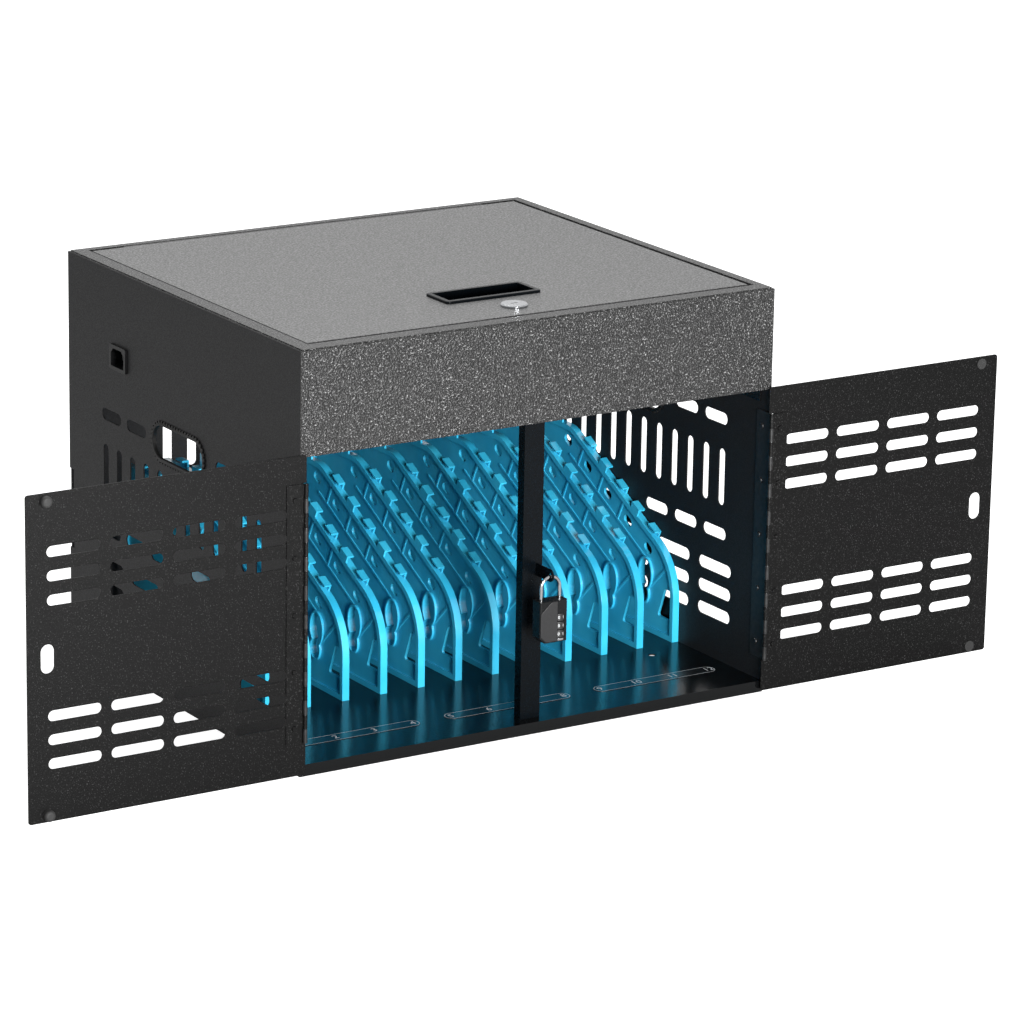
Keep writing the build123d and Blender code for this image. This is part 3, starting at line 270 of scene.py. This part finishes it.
def moulded(name, low, high, roughness, coat, edge=0.6, ripple=0.02, shine=0.5):
    """Injection moulded plastic: a faint flow ripple, slight colour drift, rounded edges."""
    made, tree, place = blank_finish(name)
    flow = add_node(
        tree, "ShaderNodeTexNoise", {"Vector": place, "Scale": 28.0, "Detail": 2.0}
    )
    colour = add_node(tree, "ShaderNodeValToRGB", {"Fac": flow.outputs["Fac"]})
    colour.color_ramp.elements[0].position = 0.3
    colour.color_ramp.elements[0].color = tint(low)
    colour.color_ramp.elements[1].position = 0.7
    colour.color_ramp.elements[1].color = tint(high)
    grain = add_node(
        tree, "ShaderNodeTexNoise", {"Vector": place, "Scale": 520.0, "Detail": 1.0}
    )
    wear = add_node(
        tree, "ShaderNodeMapRange",
        {"Value": grain.outputs["Fac"], "To Min": roughness - 0.04, "To Max": roughness + 0.06},
    )
    rounded = add_node(tree, "ShaderNodeBevel", {"Radius": edge * mm}, samples=4)
    bumps = add_node(
        tree, "ShaderNodeBump",
        {
            "Height": grain.outputs["Fac"], "Distance": ripple * mm, "Strength": 1.0,
            "Normal": rounded.outputs["Normal"],
        },
    )
    shader = add_node(
        tree, "ShaderNodeBsdfPrincipled",
        {
            "Base Color": colour.outputs["Color"], "Roughness": wear.outputs["Result"],
            "Normal": bumps.outputs["Normal"], "IOR": 1.53, "Specular IOR Level": shine,
            "Coat Weight": coat, "Coat Roughness": 0.08,
        },
    )
    close_finish(tree, shader)
    return made


# Glossy ABS, coloured through. It gives clear highlights and a deep colour in its own shade.
turquoise = moulded("glossy_turquoise_abs", "#2aa2ca", "#3ab6da", 0.2, 0.6, 0.8, 0.01)
dress(turquoise, *[f"divider_{number:02d}" for number in range(1, 13)])

# Small mouldings: edging of the shelf's cable openings, inlet, outlets, bezel and rocker. Black
# nylon and ABS, snapped or clipped into the sheet.
black_nylon = moulded("matt_black_nylon", "#0d0d0d", "#151515", 0.5, 0.0, 0.3, 0.03, 0.25)
dress(black_nylon, "cable_grommets")
black_abs = moulded("satin_black_abs", "#080809", "#0e0e0f", 0.34, 0.0, 0.3, 0.015, 0.2)
dress(black_abs, "power_inlet", "outlet_inserts", "switch_bezel", "strip_rocker")

# Hand hole edging. Extruded nylon trim with saw cut teeth that let it bend round the hole; its
# channel grips the edge of the sheet from both sides.
edging_teeth = 100
tooth_share = 0.96
edging_notch = 1.4 * mm
edging_web = 1.4 * mm
edging_face = 4.4 * mm
outer_round = 0.4 * mm
inner_round = 0.5 * mm
sheet = 1.2 * mm


def close_piece(name, shape, body, slot, *finishes):
    """Turns a finished bmesh into a piece that rides on a CAD body."""
    bmesh.ops.recalc_face_normals(shape, faces=shape.faces)
    mesh = bpy.data.meshes.new(name)
    shape.to_mesh(mesh)
    shape.free()
    for finish in finishes:
        mesh.materials.append(finish)
    piece = bpy.data.objects.new(name, mesh)
    bpy.context.scene.collection.objects.link(piece)
    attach(piece, body)
    return piece


def add_hole_ring(shape, middle, length, height, x, notch):
    """A ring of corners round a round ended hole; every other tooth is cut back by the notch."""
    radius = height / 2
    run = length - height
    around = 2 * run + 2 * pi * radius
    ring = []
    for index in range(2 * edging_teeth):
        tooth = index // 2
        along = around * (tooth + index % 2 * tooth_share) / edging_teeth
        if along < run:
            spot, out = (along - run / 2, radius), (0, 1)
        elif along < run + pi * radius:
            turn = (along - run) / radius
            out = (sin(turn), cos(turn))
            spot = (run / 2 + radius * out[0], radius * out[1])
        elif along < 2 * run + pi * radius:
            spot, out = (run / 2 - (along - run - pi * radius), -radius), (0, -1)
        else:
            turn = (along - 2 * run - pi * radius) / radius
            out = (-sin(turn), -cos(turn))
            spot = (-run / 2 + radius * out[0], radius * out[1])
        depth = notch if tooth % 2 else 0.0
        ring.append(shape.verts.new(
            (x, middle.y + spot[0] - out[0] * depth, middle.z + spot[1] - out[1] * depth)
        ))
    return ring


for side in ("left", "right"):
    low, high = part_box(f"{side}_hand_hole_edging")
    middle = (low + high) / 2
    length, height = high.y - low.y, high.z - low.z
    grip = (high.x - low.x - sheet) / 2
    trim = bmesh.new()
    rings = [
        add_hole_ring(trim, middle, length - 2 * inset, height - 2 * inset, x, notch)
        for inset, x, notch in (
            (0.0, low.x + grip, edging_notch), (0.0, low.x + outer_round, edging_notch),
            (outer_round, low.x, edging_notch), (edging_face - inner_round, low.x, 0.0),
            (edging_face, low.x + inner_round, 0.0), (edging_face, high.x - inner_round, 0.0),
            (edging_face - inner_round, high.x, 0.0), (outer_round, high.x, edging_notch),
            (0.0, high.x - outer_round, edging_notch), (0.0, high.x - grip, edging_notch),
            (edging_face - edging_web, high.x - grip, 0.0),
            (edging_face - edging_web, low.x + grip, 0.0),
        )
    ]
    for first, second in zip(rings, rings[1:] + rings[:1]):
        for index in range(len(first)):
            trim.faces.new((first[index - 1], first[index], second[index], second[index - 1]))
    edging = close_piece(f"{side}_hand_hole_trim", trim, "cabinet", "black_nylon", black_nylon)
    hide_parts(f"{side}_hand_hole_edging")

# Door bumpers and pads. Cut rubber discs that stick to the doors where they meet the shell.
black_rubber = moulded("black_rubber", "#101010", "#1c1c1c", 0.7, 0.0, 0.4, 0.05)
dress(black_rubber, "left_door_bumpers", "right_door_pads")

# Power strip. A folded steel housing in satin black enamel on two brackets, under the lid.
strip_enamel = powder_coat(
    "satin_black_enamel", "#141415", "#1b1b1c", "#1f1f20", 1.4, 0.01, 0.36
)
dress(strip_enamel, "strip_housing", "strip_brackets")

# Lid lock, shackle and the padlock's spindle. Die cast and drawn parts, polished and chrome
# plated.
chrome, tree, place = blank_finish("polished_chrome")
haze = add_node(
    tree, "ShaderNodeTexNoise", {"Vector": place, "Scale": 700.0, "Detail": 3.0}
)
shade = add_node(tree, "ShaderNodeValToRGB", {"Fac": haze.outputs["Fac"]})
shade.color_ramp.elements[0].color = tint("#8d8f92")
shade.color_ramp.elements[1].color = tint("#c4c6c8")
wear = add_node(
    tree, "ShaderNodeMapRange", {"Value": haze.outputs["Fac"], "To Min": 0.05, "To Max": 0.14}
)
rounded = add_node(tree, "ShaderNodeBevel", {"Radius": 0.35 * mm}, samples=4)
shader = add_node(
    tree, "ShaderNodeBsdfPrincipled",
    {
        "Base Color": shade.outputs["Color"], "Roughness": wear.outputs["Result"],
        "Normal": rounded.outputs["Normal"], "Metallic": 1.0,
    },
)
close_finish(tree, shader)
dress(chrome, "padlock_shackle", "lock_barrel", "lock_core", "padlock_spindle")

# Number strips. Three thin black labels on the floor in front of the dividers, each with a
# fine pale outline and the numbers of four bays in white ink.
label_ink, tree, place = blank_finish("white_screen_ink")
patches = add_node(
    tree, "ShaderNodeTexNoise", {"Vector": place, "Scale": 1500.0, "Detail": 2.0}
)
shade = add_node(tree, "ShaderNodeValToRGB", {"Fac": patches.outputs["Fac"]})
shade.color_ramp.elements[0].color = tint("#b9bcbe")
shade.color_ramp.elements[1].color = tint("#dfe2e3")
shader = add_node(
    tree, "ShaderNodeBsdfPrincipled",
    {"Base Color": shade.outputs["Color"], "Roughness": 0.5},
)
close_finish(tree, shader)
label_film = moulded("black_polyester_film", "#0b0c0d", "#121314", 0.22, 0.0, 0.2, 0.004)
figure_share = 0.7
bay_pitch = 39.1 * mm
last_bay = 235.0 * mm
label_end = 8 * mm
label_run = 57 * mm
label_margin = 0.6 * mm
label_line = 0.5 * mm
label_figure = 7.5 * mm
film_step = 0.06 * mm
ink_step = 0.02 * mm


def add_figures(shape, words, height, place):
    """Adds flat inked figures of this height to a bmesh, their middle moved to a place."""
    text = bpy.data.curves.new(words, "FONT")
    text.body = words
    text.size = height / figure_share
    text.align_x = "CENTER"
    text.align_y = "CENTER"
    text.resolution_u = 3
    holder = bpy.data.objects.new(words, text)
    flat = bpy.data.meshes.new_from_object(holder)
    flat.transform(place)
    earlier = set(shape.faces)
    shape.from_mesh(flat)
    for face in shape.faces:
        if face not in earlier:
            face.material_index = 1
    bpy.data.objects.remove(holder)
    bpy.data.curves.remove(text)
    bpy.data.meshes.remove(flat)


low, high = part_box("number_strips")
strip_y = (low.y + high.y) / 2
first_bay = last_bay - 11.5 * bay_pitch
strips = bmesh.new()
for group in range(3):
    middle_x = first_bay + (group * 4 + 1.5) * bay_pitch
    rim = bmesh.ops.create_circle(
        strips, cap_ends=True, segments=32, radius=label_end,
        matrix=Matrix.Translation((middle_x, strip_y, low.z)),
    )
    for vertex in rim["verts"]:
        vertex.co.x += label_run if vertex.co.x > middle_x else -label_run
    label = rim["verts"][0].link_faces[0]
    risen = bmesh.ops.extrude_face_region(strips, geom=[label])
    corners = [v for v in risen["geom"] if isinstance(v, bmesh.types.BMVert)]
    bmesh.ops.translate(strips, verts=corners, vec=(0, 0, high.z - low.z - film_step))
    top = [f for f in risen["geom"] if isinstance(f, bmesh.types.BMFace)]
    bmesh.ops.inset_region(strips, faces=top, thickness=label_margin)
    line = bmesh.ops.inset_region(strips, faces=top, thickness=label_line)
    for face in line["faces"]:
        face.material_index = 1
for bay in range(12):
    spot = Matrix.Translation((first_bay + bay * bay_pitch, strip_y, high.z - ink_step))
    add_figures(strips, str(bay + 1), label_figure, spot)
labels = close_piece("bay_number_labels", strips, "cabinet", "number_strip", label_film, label_ink)
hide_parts("number_strips")

# Padlock case. A die cast zinc body in satin black enamel, with windows near its right edge for
# the number wheels and a cut cornered steel cover plate pressed on its front beside them.
enamel = powder_coat(
    "satin_black_enamel_on_zinc", "#08090a", "#0d0e10", "#121315", 1.0, 0.012, 0.3, 0.2, 0.4
)
dress(enamel, "padlock_body")
low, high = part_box("padlock_body")
dial_low, dial_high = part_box("padlock_dial_1")
cover_gap = 3.9 * mm
cover_side_margin = 0.7 * mm
cover_end_margin = 0.8 * mm
cover_top_cut = 11 * mm
cover_top_drop = 10 * mm
cover_bottom_cut = 5.5 * mm
cover_rise = 0.45 * mm
cover_round = 0.3 * mm
cover_right = (dial_low.x + dial_high.x) / 2 - cover_gap
cover_left = low.x + cover_side_margin
cover_top = high.z - cover_end_margin
cover_bottom = low.z + cover_end_margin
cover_plate = bmesh.new()
corners = [
    cover_plate.verts.new((x, low.y, z))
    for x, z in (
        (cover_left, cover_bottom + cover_bottom_cut),
        (cover_left + cover_bottom_cut, cover_bottom),
        (cover_right, cover_bottom), (cover_right, cover_top),
        (cover_left + cover_top_cut, cover_top), (cover_left, cover_top - cover_top_drop),
    )
]
plate = cover_plate.faces.new(corners)
raised = bmesh.ops.extrude_face_region(cover_plate, geom=[plate])
front_corners = [v for v in raised["geom"] if isinstance(v, bmesh.types.BMVert)]
bmesh.ops.translate(cover_plate, verts=front_corners, vec=(0, -cover_rise, 0))
rims = [edge for edge in cover_plate.edges if set(edge.verts) <= set(front_corners)]
bmesh.ops.bevel(
    cover_plate, geom=rims, offset=cover_round, offset_type="OFFSET", affect="EDGES",
    segments=2, profile=0.5, material=-1,
)
close_piece("padlock_cover_plate", cover_plate, "padlock", "strip_enamel", strip_enamel)

# Number wheels. Three black wheels moulded in acetal, with rounded rims and ten figures printed
# round each in white ink.
wheel_black = moulded("matt_black_acetal", "#0e0e0e", "#171717", 0.42, 0.0, 0.15, 0.01)
wheel_play = 0.1 * mm
wheel_round = 0.5 * mm
wheel_figure = 2.6 * mm
figure_depth = 0.04 * mm
for number in (1, 2, 3):
    low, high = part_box(f"padlock_dial_{number}")
    middle = (low + high) / 2
    reach = (high.x - low.x) / 2
    radius = reach - wheel_play
    wheel = bmesh.new()
    bmesh.ops.create_cone(
        wheel, cap_ends=True, segments=40, radius1=radius, radius2=radius,
        depth=high.z - low.z, matrix=Matrix.Translation(middle),
    )
    rims = [e for e in wheel.edges if abs(e.verts[0].co.z - e.verts[1].co.z) < 1e-6]
    bmesh.ops.bevel(
        wheel, geom=rims, offset=wheel_round, offset_type="OFFSET", affect="EDGES",
        segments=2, profile=0.5, material=-1,
    )
    for figure in range(10):
        facing = Matrix.Rotation(figure * pi / 5 - pi / 10, 4, "Z")
        stand = (
            Matrix.Translation(middle) @ facing
            @ Matrix.Translation((0, figure_depth - reach, 0)) @ Matrix.Rotation(pi / 2, 4, "X")
        )
        add_figures(wheel, str(figure), wheel_figure, stand)
    dial = close_piece(
        f"padlock_number_wheel_{number}", wheel, f"number_wheel_{number}", "dial_plastic",
        wheel_black, label_ink,
    )
    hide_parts(f"padlock_dial_{number}")

# The room: a wide pale floor, a soft overhead light, a front light and an even white sky.
floor = bmesh.new()
bmesh.ops.create_grid(floor, x_segments=1, y_segments=1, size=25.0)
ground_mesh = bpy.data.meshes.new("studio_floor")
floor.to_mesh(ground_mesh)
floor.free()
ground = bpy.data.objects.new("studio_floor", ground_mesh)
bpy.context.scene.collection.objects.link(ground)
paper, tree, place = blank_finish("white_studio_paper")
fibres = add_node(
    tree, "ShaderNodeTexNoise", {"Vector": place, "Scale": 40.0, "Detail": 3.0}
)
shade = add_node(tree, "ShaderNodeValToRGB", {"Fac": fibres.outputs["Fac"]})
shade.color_ramp.elements[0].color = tint("#e6e6e6")
shade.color_ramp.elements[1].color = tint("#ededed")
rays = add_node(tree, "ShaderNodeLightPath")
matt = add_node(tree, "ShaderNodeBsdfDiffuse", {"Color": shade.outputs["Color"]})
seen = add_node(
    tree, "ShaderNodeMath",
    {0: rays.outputs["Is Camera Ray"], 1: 0.7}, operation="MULTIPLY",
)
lift = add_node(tree, "ShaderNodeEmission", {"Strength": seen.outputs["Value"]})
both = add_node(tree, "ShaderNodeAddShader", {0: matt.outputs["BSDF"], 1: lift.outputs["Emission"]})
add_node(tree, "ShaderNodeOutputMaterial", {"Surface": both.outputs["Shader"]})
ground_mesh.materials.append(paper)

sky = bpy.data.worlds.new("studio_sky")
bpy.context.scene.world = sky
sky.use_nodes = True
tree = sky.node_tree
tree.nodes.clear()
rays = add_node(tree, "ShaderNodeLightPath")
seen = add_node(
    tree, "ShaderNodeMath",
    {0: rays.outputs["Is Camera Ray"], 1: rays.outputs["Is Glossy Ray"]}, operation="MAXIMUM",
)
seen = add_node(
    tree, "ShaderNodeMath",
    {0: seen.outputs["Value"], 1: rays.outputs["Is Transmission Ray"]}, operation="MAXIMUM",
)
strength = add_node(
    tree, "ShaderNodeMapRange",
    {"Value": seen.outputs["Value"], "To Min": 0.45, "To Max": 1.0},
)
glow = add_node(
    tree, "ShaderNodeBackground",
    {"Color": (1, 1, 1, 1), "Strength": strength.outputs["Result"]},
)
add_node(tree, "ShaderNodeOutputWorld", {"Surface": glow.outputs["Background"]})


def soft_lamp(name, watts, size, at, towards):
    """A square soft box at one point, facing another."""
    lamp = bpy.data.lights.new(name, "AREA")
    lamp.shape = "SQUARE"
    lamp.size = size
    lamp.energy = watts
    holder = bpy.data.objects.new(name, lamp)
    bpy.context.scene.collection.objects.link(holder)
    holder.location = at
    holder.rotation_euler = (Vector(towards) - Vector(at)).to_track_quat("-Z", "Y").to_euler()


soft_lamp("overhead_soft_box", 46.0, 2.0, (0.2, 0.9, 2.3), (0, 0, 0.2))
soft_lamp("front_soft_box", 150.0, 0.9, (-0.45, -2.8, 0.5), (0, 0, 0.15))
